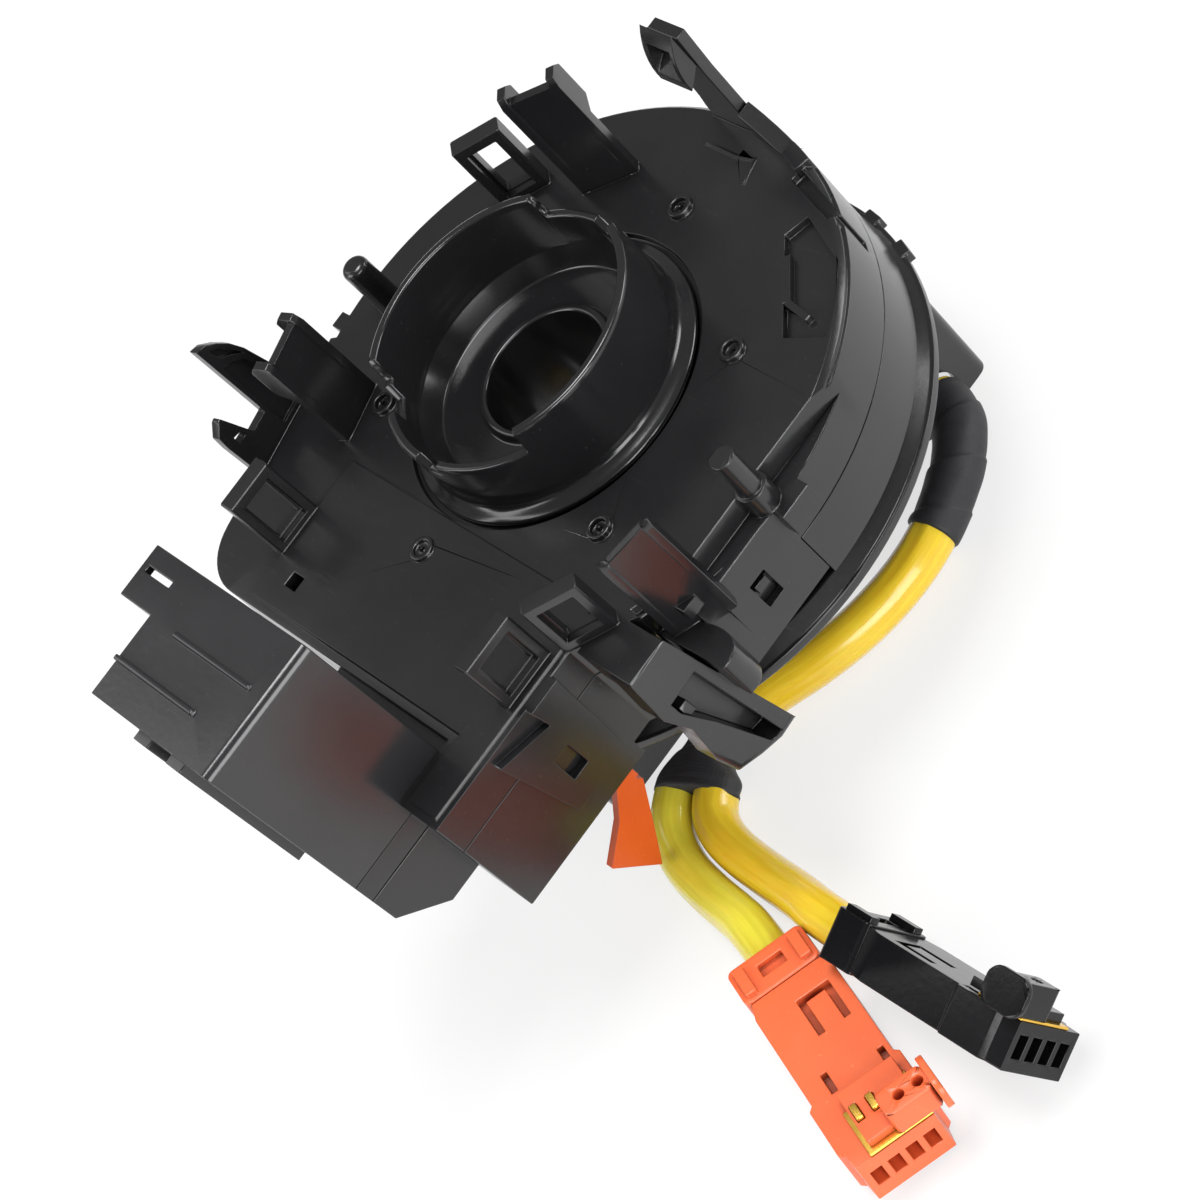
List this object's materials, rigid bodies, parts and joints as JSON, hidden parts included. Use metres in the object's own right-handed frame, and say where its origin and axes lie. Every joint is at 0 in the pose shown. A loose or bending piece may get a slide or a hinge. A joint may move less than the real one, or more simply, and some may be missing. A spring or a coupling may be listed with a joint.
{
  "type": "steering clock spring",
  "caption": "Steering clock spring: hub turning in a drum housing with a flat cable inside, side connector block, and sleeved airbag leads",
  "frame": {"origin": "on the shaft axis, in the top face of the housing plate", "axes": "+Z along the shaft axis towards the column, +X away from the connector block, +Y towards the block's mouth"},
  "size_m": [0.1379, 0.1727, 0.0894],
  "materials": {
    "black_plastic": "moulded satin black",
    "gloss_black": "moulded glossy black",
    "block_plastic": "moulded dark grey, glossy front",
    "pins": "tinned brass",
    "slide_film": "translucent film",
    "flat_cable": "polyester film over copper strips",
    "orange_plastic": "moulded orange",
    "yellow_sleeve": "glossy vinyl sleeve",
    "cloth_tape": "woven cloth tape",
    "connector_black": "moulded black",
    "contact_gold": "gold-plated spring contact"
  },
  "bodies": {
    "stator": {"rear_housing": "black_plastic", "front_cover": "black_plastic", "vehicle_connector_block": "block_plastic", "vehicle_pins": "pins", "outer_lead_block": "block_plastic", "slide_sheet_rear": "slide_film", "slide_sheet_front": "slide_film"},
    "rotor": {"rotor_hub": "gloss_black", "rotor_front": "black_plastic", "switch_pins": "pins", "inner_lead_block": "block_plastic", "flat_cable": "flat_cable", "lock_tab": "orange_plastic", "lead_bundle": "yellow_sleeve", "lead_orange": "yellow_sleeve", "lead_black": "yellow_sleeve", "tape_at_pod": "cloth_tape", "tape_at_branch": "cloth_tape", "orange_connector_body": "orange_plastic", "orange_connector_cap": "orange_plastic", "orange_connector_nose": "orange_plastic", "orange_contact_leaf": "contact_gold", "black_connector_body": "connector_black", "black_connector_cap": "connector_black", "black_connector_nose": "connector_black", "black_contact_leaf": "contact_gold"}
  },
  "joints": [
    {"name": "rotor_turn", "type": "hinge", "parent": "stator", "child": "rotor", "pos_m": [0, 0, 0], "axis": [0, 0, 1], "range_deg": [-900, 900], "deforming": ["flat_cable"]}
  ]
}
